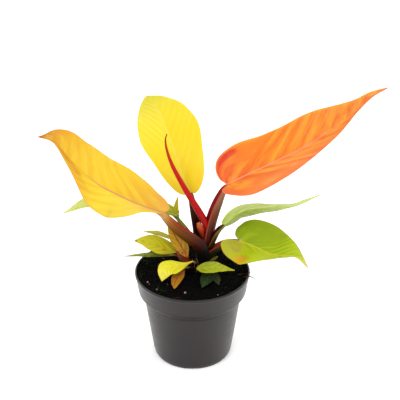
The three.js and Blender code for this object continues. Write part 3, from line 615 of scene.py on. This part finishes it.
def stalk_look(name, outer, inner=None, margin=None, hem=0.018, hem_from=0.0, speckle="#2a1008"):
    """A stalk's colours from foot to end. One with a channel has inner colours in it, and a hem in the
    margin's colour along each side of it, from hem_from up."""
    look = Look(name, specular=0.14)
    vector, s, around = look.uv()
    long_noise = look.noise((3, 60, 1), 4, 0.6, vector)
    fine = look.noise((60, 90, 1), 3, 0.6, vector)
    outside = look.ramp(look.add(s, look.times(look.minus(long_noise, 0.5), 0.3)), outer)
    base = look.mix(look.step(long_noise, 0.4, 0.75, 0.0, 0.3), outside, speckle)
    if inner:
        from_middle = look.math("ABSOLUTE", look.minus(around, 0.25))
        inside = look.ramp(s, inner)
        inside = look.mix(look.step(long_noise, 0.3, 0.7, 0.0, 0.3), inside, speckle)
        base = look.mix(look.step(from_middle, 0.17, 0.2, 1.0, 0.0), base, inside)
        off_edge = look.math("ABSOLUTE", look.minus(from_middle, 0.205))
        reach = look.times(look.step(s, hem_from, hem_from + 0.25), look.step(s, 0.92, 0.82))
        wing = look.times(look.step(off_edge, hem * 0.3, hem, 0.85, 0.0), reach)
        base = look.mix(wing, base, margin)
    base = look.mix(look.step(fine, 0.62, 0.75, 0.0, 0.35), base, speckle)
    look.dress("Roughness", look.step(long_noise, 0.3, 0.7, 0.38, 0.55))
    look.bump(look.add(long_noise, look.times(fine, 0.4)), 0.4, 0.0005)
    return look.paint(base)


LEAF_LOOKS = {
    "leaf_right": dict(
        left=[(0, "#ec6822"), (0.12, "#ee7628"), (0.3, "#f4882f"), (0.55, "#f49038"), (0.8, "#ee8c3a"),
            (0.93, "#ea8f46"), (1, "#d98a52")],
        right=[(0, "#ee7430"), (0.15, "#f07a34"), (0.4, "#f5883e"), (0.7, "#f7964c"), (0.9, "#f09858"),
            (1, "#d98a60")],
        rib="#f99a74", rib_fade=0.75, margin="#f49a58", light="#fcb444", dark="#e4651e", streaks=0.6,
        veins=9, flush=("#ec6446", 16, 0.5), shore=("#f9b24c", 4, 0.4), under="#f0a060",
        patches=[(0.0, -0.5, 0.1, 0.55, "#e8581e", 0.7), (0.03, -0.84, 0.06, 0.16, "#dc3c12", 0.9),
            (0.1, -0.82, 0.07, 0.13, "#dc3c12", 0.9), (0.45, 0.25, 0.35, 0.3, "#fba24c", 0.5)]),
    "leaf_left": dict(
        left=[(0, "#eec068"), (0.2, "#f0d04c"), (0.4, "#f1d540"), (0.6, "#eec22e"), (0.8, "#e0a62a"),
            (1, "#b8782c")],
        right=[(0, "#e8aa46"), (0.12, "#ebb43a"), (0.35, "#f0c637"), (0.6, "#f1ca3a"), (0.8, "#eab434"),
            (0.92, "#d89634"), (1, "#a8683a")],
        rib="#dc9468", rib_fade=0.68, margin="#e48c52", light="#fadc50", dark="#e8a030", streaks=0.32,
        veins=9, shore=("#e8a040", 6, 0.35), under="#e8cc60",
        patches=[(0.74, -0.55, 0.14, 0.3, "#d08c14", 0.7), (0.62, -0.8, 0.1, 0.25, "#e0a020", 0.5)]),
    "leaf_centre": dict(
        left=[(0, "#f4ce34"), (0.2, "#f6da36"), (0.6, "#f4dc2a"), (1, "#d6cc36")],
        right=[(0, "#fbd236"), (0.2, "#f8d828"), (0.6, "#f7da20"), (0.85, "#e6d82a"), (1, "#d0ca38")],
        rib="#f6e064", rib_fade=0.9, rib_half=0.6, margin="#f0c83c", light="#fbec48", dark="#ecc820",
        streaks=0.2, veins=10, under="#ecdc60"),
    # leaf_side: the right half's paler, whitish colours are partly the leaf's own pale green and partly
    # painted reflection of the white surroundings on the half that tilts away at a grazing angle; the left
    # half, tilted more towards the camera, is greener.
    "leaf_side": dict(
        left=[(0, "#acc23c"), (0.3, "#b6cc4c"), (0.7, "#cbdc78"), (1, "#dbe69a")],
        right=[(0, "#c0d45c"), (0.25, "#d4e290"), (0.7, "#dbe6a0"), (1, "#dce894")], rib="#c6d840",
        margin="#b8ca54", light="#e0ecac", dark="#a0b834", streaks=0.45, veins=9),
    "leaf_low_right": dict(
        left=[(0, "#8fa80c"), (0.3, "#9ab412"), (0.6, "#aac618"), (0.85, "#bcd236"), (1, "#cfd98c")],
        right=[(0, "#c0bc48"), (0.12, "#bccc2c"), (0.35, "#bed430"), (0.6, "#c4d64c"), (1, "#d2dc84")],
        rib="#d4d040", rib_fade=1.2, margin="#c4792e", margin_wide=0.9, light="#c0d830", dark="#809a08",
        streaks=0.4, veins=9, under="#b8c468",
        patches=[(0.16, 0.8, 0.13, 0.22, "#e0a038", 0.85), (0.0, 0.35, 0.08, 0.3, "#b6a64d", 0.7),
            (0.0, 0.0, 0.03, 0.16, "#d8947c", 0.8)]),
    "leaf_rear_left": dict(
        left=[(0, "#a2bc38"), (0.5, "#c0cc34"), (1, "#e4e88c")],
        right=[(0, "#aac23c"), (0.5, "#c6d038"), (1, "#e8ec98")], rib="#d8dc60", margin="#cdd250",
        light="#dbe06a", dark="#a2b422", veins=9, under="#ccd27a"),
    "young_left_1": dict(
        left=[(0, "#c8c436"), (1, "#e8e06a")], right=[(0, "#d0cc3c"), (1, "#ece478")], rib="#ddd860",
        margin="#d8cc50", light="#efe67c", dark="#b8b428", veins=6, rib_half=0.4),
    "young_left_2": dict(
        left=[(0, "#b0a018"), (0.5, "#cfc428"), (0.93, "#e0da3c"), (1, "#8a5a2c")],
        right=[(0, "#b4aa1c"), (0.5, "#d2cc2c"), (0.93, "#dcd83e"), (1, "#8a5a2c")], rib="#c8c030",
        margin="#c89a30", light="#e2da3c", dark="#b0a41a", veins=6, rib_half=0.4, margin_wide=0.7,
        patches=[(0.35, -0.2, 0.07, 0.2, "#b08c20", 0.7)]),
    "young_left_3": dict(
        left=[(0, "#4c5418"), (0.5, "#6c7420"), (1, "#a8b45c")],
        right=[(0, "#545c1a"), (0.5, "#74801e"), (1, "#b0bc64")], rib="#98a048", margin="#8a9040",
        light="#8a9438", dark="#485414", veins=5, rib_half=0.3, margin_wide=0.6),
    "young_left_4": dict(
        left=[(0, "#b05a1c"), (0.3, "#d09c14"), (1, "#e8bc1c")],
        right=[(0, "#a8541a"), (0.3, "#ba8c10"), (1, "#d8b01c")], rib="#b0501c", margin="#c8882a",
        light="#e8c024", dark="#a8700e", veins=6, rib_half=0.7, margin_wide=0.8),
    "young_front_1": dict(
        left=[(0, "#d8b040"), (0.25, "#e6d63a"), (0.6, "#eee62e"), (1, "#f6ec58")],
        right=[(0, "#e0b848"), (0.25, "#e8dc34"), (0.6, "#f0e832"), (1, "#f8ee60")], rib="#f2ea50",
        margin="#e8b048", light="#faf464", dark="#dccc24", veins=6, rib_half=0.4, margin_wide=0.8),
    "young_front_2": dict(
        left=[(0, "#9a6426"), (0.5, "#bc7e30"), (1, "#c88c38")],
        right=[(0, "#8e5820"), (0.5, "#b0742a"), (1, "#bc8232")], rib="#8c5a20", margin="#b8843a",
        light="#bc883c", dark="#7c4c18", veins=6, rib_half=0.4, margin_wide=0.6),
    "young_right_1": dict(
        left=[(0, "#8e961c"), (0.5, "#aab81f"), (1, "#ccd630")],
        right=[(0, "#969c1e"), (0.5, "#b4c022"), (1, "#d2dc34")], rib="#bcc42c", margin="#c8c040",
        light="#c8d438", dark="#86941a", veins=6, rib_half=0.4, margin_wide=0.7),
    "young_right_2": dict(
        left=[(0, "#2c3c18"), (1, "#3c4e24")], right=[(0, "#283616"), (1, "#36461e")], rib="#4a5a28",
        margin="#3a4420", light="#465a24", dark="#1e2a0c", veins=6, rib_half=0.4, margin_wide=0.5),
    "young_right_3": dict(
        left=[(0, "#343a16"), (1, "#4a5220")], right=[(0, "#303614"), (1, "#444c1e")], rib="#444a1c",
        margin="#3c401a", light="#464c1a", dark="#1e2408", veins=5, rib_half=0.4, margin_wide=0.5),
    "young_left_5": dict(
        left=[(0, "#5e2a16"), (0.5, "#77411d"), (1, "#8a5428")],
        right=[(0, "#6a3018"), (0.5, "#7c4720"), (1, "#8a5428")], rib="#9a3020", margin="#8c4a24",
        light="#96602e", dark="#5a2c14", veins=5, rib_half=0.5, margin_wide=0.7),
    "young_rear": dict(
        left=[(0, "#d0d83c"), (0.5, "#f4e444"), (1, "#fbe85a")],
        right=[(0, "#c4d038"), (0.5, "#f0e040"), (1, "#fbe85a")], rib="#e0d040", margin="#dcc038",
        light="#f0dc50", dark="#c0ac24", veins=4, rib_half=0.3, margin_wide=0.5),
}

STALK_LOOKS = {
    "stem": dict(
        outer=[(0, "#1e120a"), (0.5, "#24120a"), (1, "#30180e")]),
    "stalk_left": dict(
        outer=[(0, "#120b06"), (0.28, "#251508"), (0.42, "#543218"), (0.56, "#704824"), (0.7, "#84522c"),
            (0.8, "#a66c36"), (0.88, "#dca45c"), (1, "#ecc080")],
        inner=[(0, "#160c06"), (0.4, "#34180d"), (0.6, "#7e2a1e"), (0.82, "#a43c28"), (0.9, "#e0a060"),
            (1, "#ecc080")],
        margin="#a42c20", hem=0.035, hem_from=0.42, speckle="#3c1e0c"),
    "stalk_right": dict(
        outer=[(0, "#2c150c"), (0.35, "#623526"), (0.6, "#905a46"), (0.8, "#b07e68"), (1, "#e88a50")],
        inner=[(0, "#6a140c"), (0.5, "#981a0e"), (0.85, "#ac2416"), (1, "#e0703a")], margin="#b4584a",
        speckle="#43180e"),
    "stalk_low_right": dict(
        outer=[(0, "#24200a"), (0.5, "#3c3c10"), (0.8, "#6a6a26"), (1, "#a8b040")],
        inner=[(0, "#5e2418"), (0.45, "#8e4a34"), (0.75, "#b45a44"), (1, "#cc8468")], margin="#a8321e"),
    "stalk_side": dict(
        outer=[(0, "#3c2010"), (0.5, "#5c4420"), (0.75, "#8a8a48"), (1, "#b8c46c")],
        inner=[(0, "#3c1a0e"), (0.7, "#54280f"), (1, "#8a8a3a")], margin="#9a6a44"),
    "stalk_centre": dict(
        outer=[(0, "#3c1c12"), (0.5, "#6a3826"), (0.85, "#8a7458"), (1, "#d0b860")],
        inner=[(0, "#341810"), (0.5, "#4a2418"), (0.85, "#7a5a40"), (1, "#c8b060")], margin="#a07c68"),
    "stalk_rear_left": dict(
        outer=[(0, "#4a4a18"), (0.6, "#7a8c24"), (1, "#8ea42a")], inner=[(0, "#6a7a20"), (1, "#8fa82a")],
        margin="#a8b048", speckle="#4a5a14"),
    "new_leaf": dict(
        outer=[(0, "#b4121e"), (0.3, "#c41c26"), (0.6, "#cc2c2a"), (0.82, "#cc442c"), (0.94, "#b04a2a"),
            (1, "#6e2c20")],
        speckle="#8c1018"),
    "new_leaf_sheath": dict(
        outer=[(0, "#7a1c12"), (0.5, "#b8482a"), (1, "#dc7a48")], speckle="#8a2412"),
    "shoot_left": dict(
        outer=[(0, "#4a1810"), (0.6, "#7c2a1a"), (1, "#a04a28")], speckle="#30100a"),
    "shoot_front": dict(
        outer=[(0, "#1c160a"), (0.6, "#3a2c14"), (1, "#c8a468")], speckle="#30240e"),
    "shoot_right": dict(
        outer=[(0, "#1c1a0a"), (0.6, "#3e3a14"), (1, "#8c8238")], speckle="#202408"),
}


def build_leaves():
    for name, leaf in LEAVES.items():
        size = YOUNG_BLADE if name.startswith("young") else BIG_BLADE
        thing = leaf_mesh(name + "_blade", leaf, LEAF_LOOKS[name]["veins"], **size)
        add_piece(thing, leaf_look(name + "_look", **LEAF_LOOKS[name]), [name])


def build_stalks():
    for name, one in STALKS.items():
        deep = one.get("deep", one["wide"])
        points, faces, uv = stalk_arrays(one["line"], one["face"], one["wide"], deep, one["channel"])
        thing = make_mesh(name + "_stalk", points, faces, uv=uv)
        add_piece(thing, stalk_look(name + "_look", **STALK_LOOKS[name]), [name])


def build_shoots():
    """Each shoot's branches as one piece. They are a little flatter than they are wide."""
    for name, branches in SHOOTS.items():
        parts = []
        for line, wide in branches:
            deep = [0.85 * w for w in wide]
            parts.append(stalk_arrays(line, (0, -1, 0.3), wide, deep, 0, 20, 16))
        points, faces, uv = join_parts(parts)
        thing = make_mesh(name + "_stalks", points, faces, uv=uv)
        add_piece(thing, stalk_look(name + "_look", **STALK_LOOKS[name]), [name])


# ---- pot ----------------------------------------------------------------------------------
def pot_look():
    """Dull moulded plastic: dark grey, faintly scuffed, with a soft sheen that fades at the step, where
    painted shade also darkens it a little.
    """
    look = Look("pot_plastic_look")
    cloudy = look.noise(25, 4, 0.6)
    fine = look.noise(700, 3, 0.6)
    scuffs = look.noise((60, 60, 420), 5, 0.65)
    base = look.ramp(cloudy, [(0.3, "#2e2726"), (0.7, "#382f2e")])
    base = look.mix(look.step(scuffs, 0.6, 0.8, 0.0, 0.3), base, colour("#3c3937"))
    base = look.mix(look.step(fine, 0.62, 0.78, 0.0, 0.3), base, colour("#161413"))
    z = look.split(look.place())[2]
    step, band = POT["height"] - POT["step"], POT["height"] - POT["band"]
    # Painted shade: around the step, up to the band, the plastic is darkened a little and its sheen
    # lowered.
    painted_shade_at_step = look.times(look.step(z, (step - 6) * MM, (step - 1) * MM),
                           look.step(z, (band - 1) * MM, (band + 3) * MM, 1, 0))
    base = look.mix(look.times(painted_shade_at_step, 0.1), base, colour("#141110"))
    look.dress("Specular IOR Level", look.step(painted_shade_at_step, 0, 1, 0.4, 0.2))
    look.dress("Roughness", look.step(scuffs, 0.35, 0.75, 0.3, 0.42))
    look.bump(look.add(look.times(fine, 0.6), scuffs), 0.25, 0.0003)
    return look.paint(base)


def pot_profile():
    """The pot's section as (radius, height): under the foot, up outside, over the rim, down inside."""
    h, r, wall = POT["height"], POT["rim"], POT["wall"]
    band, step, body, foot = h - POT["band"], h - POT["step"], POT["body"], POT["foot"]
    under = [(0.01, 0), (11.4, 0), (12, 0.3), (13, 1.6), (34.4, 1.6), (35.3, 0.3), (35.9, 0), (39, 0)]
    outside = [(40.2, 0.5), (41.2, 2.2), (41.9, 5), (42.6, 9), (body - 1.5, step - 5),
               (body - 1.1, step - 2.6), (body - 0.5, step - 0.8), (body + 0.6, step + 0.8),
               (body + 2, step + 2.2), (r - 4.6, band - 1.6), (r - 3.8, band - 0.4), (r - 3.3, band + 1.4)]
    rim = [(r - 0.7, h - 4), (r - 0.35, h - 2.9), (r, h - 2.2), (r, h - 0.8), (r - 0.3, h - 0.2),
           (r - 0.8, h), (r - wall, h - 0.1), (r - wall - 0.4, h - 0.8), (r - wall - 0.7, h - 3)]
    inside = [(r - wall - 3.9, band + 0.3), (body - wall - 0.3, step + 0.5), (body - wall - 1.2, step - 4),
              (foot + 1.2, 8), (foot - 1, POT["floor"]), (0.01, POT["floor"])]
    return under + outside + rim + inside


def prism(ring, low, high):
    """An upright prism on a ring of (x, y) corners, as a part to join."""
    corners = len(ring)
    points = np.vstack([np.column_stack([ring, np.full(corners, z)]) for z in (low, high)])
    return points, tube_faces(2, corners), np.zeros(2 * corners)


def pot_cutter():
    """The drain holes and the notches under the foot, as one mesh to cut away."""
    parts = []
    for i in range(HOLES["count"]):
        a = (i + 0.5) * 2 * math.pi / HOLES["count"]
        centre = HOLES["ring"] * np.array([math.cos(a), math.sin(a)])
        turn = np.linspace(0, 2 * np.pi, HOLES["corners"], endpoint=False)
        circle = HOLES["radius"] * np.column_stack([np.cos(turn), np.sin(turn)])
        parts.append(prism(centre + circle, -3.0, 9.0))
    deep, wide, high = NOTCHES["half_deep"], NOTCHES["half_wide"], NOTCHES["high"]
    for i in range(NOTCHES["count"]):
        a = i * 2 * math.pi / NOTCHES["count"] - math.pi / 2
        out, across = np.array([math.cos(a), math.sin(a)]), np.array([-math.sin(a), math.cos(a)])
        ring = [out * (POT["foot"] + x) + across * y
                for x, y in ((-deep, -wide), (deep, -wide), (deep, wide), (-deep, wide))]
        parts.append(prism(ring, -high, high))
    points, faces, _ = join_parts(parts)
    return make_mesh("pot_cutter", points, faces)


def build_pot():
    """A lathed shell with a rolled rim, a band, a step and a foot, cut by drain holes and notches."""
    profile = pot_profile()
    shell = turned(profile, POT_CORNERS).reshape(-1, 3)
    pot = make_mesh("pot_shell", shell, tube_faces(len(profile), POT_CORNERS))
    cutter = pot_cutter()
    cut = pot.modifiers.new("cut", "BOOLEAN")
    cut.object = cutter
    cut.operation = "DIFFERENCE"
    shape = bpy.data.meshes.new_from_object(pot.evaluated_get(bpy.context.evaluated_depsgraph_get()))
    pot.modifiers.clear()
    pot.data = shape
    bpy.data.objects.remove(cutter)
    shape.polygons.foreach_set("use_smooth", [True] * len(shape.polygons))
    shape.set_sharp_from_angle(angle=math.radians(35))
    add_piece(pot, pot_look(), ["pot"])


# ---- soil ---------------------------------------------------------------------------------
def rough(x, y, scale, layer):
    return noise.noise(Vector((x * scale, y * scale, layer)))


def soil_height(x, y):
    """The soil's surface: a slight mound, lumps, and a bank against the rim on the left."""
    r = math.hypot(x, y)
    lumps = 1.3 * rough(x, y, 0.09, 3.1) + 0.8 * rough(x, y, 0.3, 7.7)
    crumbs = 0.5 * rough(x, y, 0.9, 1.3)
    bank = 3.0 * max(0, (r - 44) / 13)**1.5 * max(0, -x / 57)
    return SOIL_EDGE + 2.0 * math.exp(-(r / 34)**2) + lumps + crumbs + bank


def soil_look():
    look = Look("soil_look", roughness=1.0, specular=0.05)
    coarse = look.noise(90, 4, 0.6)
    fine = look.noise(600, 4, 0.65)
    base = look.ramp(coarse, [(0.3, "#030202"), (0.5, "#0b0806"), (0.72, "#15120a")])
    base = look.mix(look.step(fine, 0.58, 0.75, 0.0, 0.6), base, colour("#1c170d"))
    look.bump(look.add(coarse, fine), 0.8, 0.0015)
    return look.paint(base)


def build_soil_bed():
    """The bed: its uneven surface, and a plain skirt and floor inside the pot."""
    rings, corners = 60, 150
    top = turned([(r, 0) for r in np.linspace(0.05, SOIL_RADIUS, rings)], corners)
    top[..., 2] = [[soil_height(x, y) for x, y, _ in ring] for ring in top]
    skirt = turned([(56.6, 91), (53.6, 78), (49.2, 71), (40, 8), (37, 4), (0.05, 4)], corners)
    points = np.vstack([top, skirt])
    bed = make_mesh("soil_bed", points.reshape(-1, 3), tube_faces(len(points), corners))
    add_piece(bed, soil_look(), ["soil"])


def grain_look(name, stops, roughness):
    """Small loose pieces, each with its own tone."""
    look = Look(name, roughness=roughness, specular=0.08)
    fine = look.noise(900, 3, 0.6)
    tone = look.add(look.value("tone"), look.times(look.minus(fine, 0.5), 0.35))
    look.bump(fine, 0.6, 0.0004)
    return look.paint(look.ramp(tone, stops))


def add_grains(name, look_name, parts, stops, roughness=0.9, smooth=True):
    """One piece made of many small parts, each with its own tone."""
    points, faces, tone = join_parts(parts)
    thing = make_mesh(name, points, faces, smooth, tone=tone)
    add_piece(thing, grain_look(look_name, stops, roughness))


def lump(rng, centre, size, tall=1.0, corners=7):
    """A small rough pebble of a few rings."""
    rings = 4
    points = [(0, 0, -1)]
    for i in range(1, rings):
        lat = -math.pi / 2 + math.pi * i / rings
        for j in range(corners):
            lon = 2 * math.pi * (j + 0.5 * (i % 2)) / corners
            k = 1 + rng.uniform(-0.22, 0.22)
            flat = k * math.cos(lat)
            points.append((flat * math.cos(lon), flat * math.sin(lon), k * math.sin(lat)))
    points.append((0, 0, 1))
    points = np.array(points) * np.array([1, rng.uniform(0.6, 1), tall]) * size
    turn = np.array(Euler([rng.uniform(0, 6.28) for _ in range(3)]).to_matrix())
    points = points @ turn.T + np.array(centre)
    faces = [(0, 1 + (j + 1) % corners, 1 + j) for j in range(corners)]
    faces += grid_faces(rings - 1, corners, start=1, wrap=True)
    top = len(points) - 1
    faces += [(top, top - corners + j, top - corners + (j + 1) % corners) for j in range(corners)]
    return points, faces, np.full(len(points), rng.uniform(0, 1))


def scatter_crumbs(rng):
    crumbs = []
    for _ in range(1500):
        x, y, z = soil_spot(rng, LOOSE_RADIUS)
        crumbs.append(lump(rng, (x, y, z), rng.uniform(0.4, 1.5), rng.uniform(0.5, 1)))
    stops = [(0, "#050403"), (0.5, "#0e0b07"), (0.85, "#1a140c"), (1, "#2c200e")]
    add_grains("soil_crumbs", "crumb_look", crumbs, stops, smooth=False)


def soil_spot(rng, limit):
    """A random place on the soil within a radius."""
    r, a = limit * math.sqrt(rng.random()), rng.uniform(0, 2 * math.pi)
    x, y = r * math.cos(a), r * math.sin(a)
    return x, y, soil_height(x, y)


def grow_moss(rng):
    """Tufts gathered in patches of (x, y, spread, count)."""
    patches = [(-48, 20, 9, 60), (52, 14, 8, 40), (36, -30, 10, 30), (-30, -38, 10, 30), (5, 45, 16, 50),
               (-52, -6, 6, 30), (30, 38, 12, 40), (46, -20, 8, 24)]
    moss = []
    for cx, cy, spread, count in patches:
        for _ in range(count):
            x, y = rng.gauss(cx, spread / 2), rng.gauss(cy, spread / 2)
            if math.hypot(x, y) < LOOSE_RADIUS:
                moss.append(lump(rng, (x, y, soil_height(x, y) + 0.3), rng.uniform(0.3, 0.8), 2.0, 5))
    add_grains("soil_moss", "moss_look", moss, [(0, "#10160a"), (0.5, "#202c12"), (1, "#3c5020")])


def place_perlite(rng):
    """A few pale pink beads, each (x, y, size)."""
    spots = [(-7, -38, 1.4), (-36, -33, 1.0), (-46, -20, 1.0), (-44, -24, 0.7), (26, -43, 0.8),
             (18, 40, 1.1), (-31, 27, 0.9), (44, 22, 0.8)]
    beads = [lump(rng, (x, y, soil_height(x, y) + 0.5), size, 0.8, 8) for x, y, size in spots]
    stops = [(0, "#96685c"), (0.6, "#b98d80"), (1, "#ceb0a2")]
    add_grains("soil_perlite", "perlite_look", beads, stops, roughness=0.85)


def thread(line, radius, tone):
    """A thin root or fibre along a line, thinner at its end."""
    wide = [radius, radius, radius * 0.4]
    points, faces, _ = stalk_arrays(line, (0.13, 0.21, 0.97), wide, wide, 0, 12, 6)
    return points, faces, np.full(len(points), tone)


def strew_fibres(rng):
    """Short crooked fibres on the soil, and a few longer ones given one by one."""
    fibres = []
    for _ in range(46):
        x, y, z = soil_spot(rng, 54)
        a, long = rng.uniform(0, 6.28), rng.uniform(3, 9)
        line = [(x, y, z + 0.4)]
        for _ in range(3):
            a += rng.uniform(-0.6, 0.6)
            x, y = x + long / 3 * math.cos(a), y + long / 3 * math.sin(a)
            if math.hypot(x, y) > LOOSE_RADIUS:
                break
            line.append((x, y, soil_height(x, y) + rng.uniform(0.3, 1.2)))
        if len(line) > 2:
            radius = rng.uniform(0.15, 0.35)
            fibres.append(thread(line, radius, rng.uniform(0, 1)))
    fibres.append(thread([(4, -2, 112.6), (6, -3, 108), (5, -4, 102), (4, -5, 97)], 0.3, 1.0))
    fibres.append(thread([(0, 0, 110), (2, -1, 105), (6, -1, 100), (7, -2, 96)], 0.25, 0.95))
    fibres.append(thread([(53, -14, 97.5), (57, -15, 99), (61.5, -16, 98.6), (66, -17.5, 96.6)], 0.5, 0.7))
    fibres.append(thread([(55, -8, 97.2), (58, -9, 99.2), (61, -9.6, 100.2)], 0.4, 0.6))
    stops = [(0, "#1c120a"), (0.5, "#43251a"), (0.8, "#7a4438"), (1, "#9a7a5c")]
    add_grains("soil_fibres", "fibre_look", fibres, stops, roughness=0.8)


def build_soil():
    build_soil_bed()
    rng = random.Random(11)
    scatter_crumbs(rng)
    grow_moss(rng)
    place_perlite(rng)
    strew_fibres(rng)


# ---- studio -------------------------------------------------------------------------------
def build_floor(half=6000):
    white = Look("floor_look", roughness=0.9, specular=0.1)
    white.paint(white.mix(white.noise(4, 2, 0.5), colour("#f9f9f9"), colour("#fcfcfc")))
    corners = [(-half, -half, 0), (half, -half, 0), (half, half, 0), (-half, half, 0)]
    floor = make_mesh("floor", corners, [(0, 1, 2, 3)], False)
    floor.data.materials.append(white.material)


def build_lights():
    """An even white sky and three soft square lights, aimed at the plant. Metres and watts."""
    world = bpy.data.worlds.new("studio")
    bpy.context.scene.world = world
    world.use_nodes = True
    sky = world.node_tree.nodes["Background"]
    sky.inputs[0].default_value = (1, 1, 1, 1)
    sky.inputs[1].default_value = 1.25
    target = Vector((0, 0, 0.12))
    lights = [("key", (-0.7, -0.9, 1.5), 1.0, 13), ("fill", (1.1, -0.5, 1.0), 0.9, 6),
              ("back", (0.2, 1.2, 1.3), 1.0, 6)]
    for name, spot, size, watts in lights:
        light = bpy.data.lights.new(name, "AREA")
        light.size = size
        light.energy = watts
        lamp = add_object(name, light)
        lamp.location = spot
        lamp.rotation_euler = (target - Vector(spot)).to_track_quat("-Z", "Y").to_euler()


def build_camera(spot=(0.0079, -0.8526, 0.6205), tilt=27.34, focal=86):
    """A camera in front of the plant that looks down at it by tilt degrees."""
    lens = bpy.data.cameras.new("camera")
    lens.lens = focal
    lens.sensor_width = 36
    lens.clip_end = 20
    camera = add_object("camera", lens)
    camera.location = spot
    camera.rotation_euler = (math.radians(90 - tilt), 0, 0)
    bpy.context.scene.camera = camera
    bpy.context.scene.view_settings.view_transform = "Standard"
    bpy.context.scene.view_settings.look = "None"


build_floor()
build_lights()
build_camera()
build_pot()
build_soil()
build_stalks()
build_shoots()
build_leaves()
